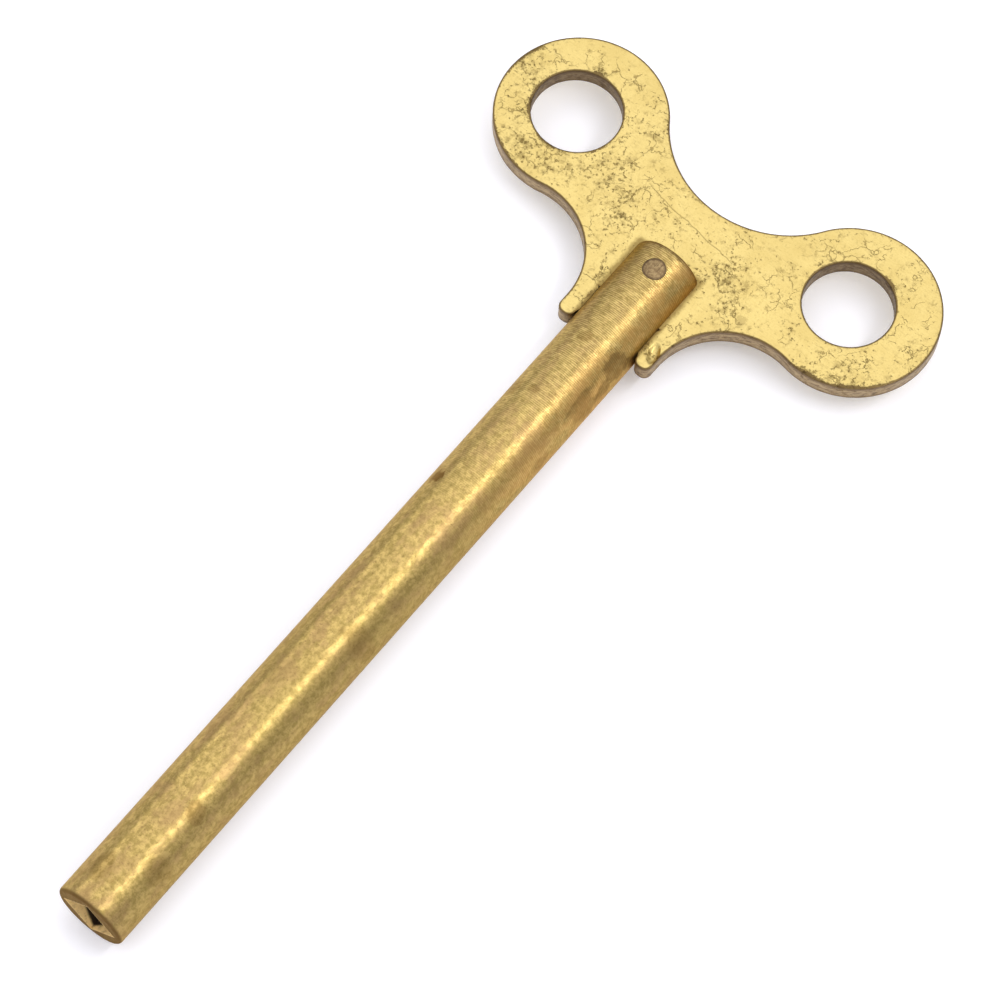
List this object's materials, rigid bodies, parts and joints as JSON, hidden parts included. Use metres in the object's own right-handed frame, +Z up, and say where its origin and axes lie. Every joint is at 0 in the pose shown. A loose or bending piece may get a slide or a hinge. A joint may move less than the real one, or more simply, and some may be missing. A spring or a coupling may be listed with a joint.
{
  "type": "winding key",
  "caption": "Long-shaft brass winding key: a round turned barrel with a square socket in its mouth, and a flat lobed bow with finger holes riveted across the other end.",
  "frame": {"origin": "under the middle of the key's bounding box, on the surface that the barrel lies on", "axes": "+Y along the barrel from the socket mouth to the bow, +X across the bow, +Z up out of the bow's flat face"},
  "size_m": [0.0548, 0.1098, 0.008],
  "materials": {
    "turned_brass": "turned and dulled, with mottled tarnish",
    "plate_brass": "lacquered plate, pitted and crazed with age",
    "rivet_brass": "filed flush and browned"
  },
  "bodies": {
    "root": {"barrel": "turned_brass", "bow": "plate_brass", "rivet": "rivet_brass"}
  },
  "joints": []
}
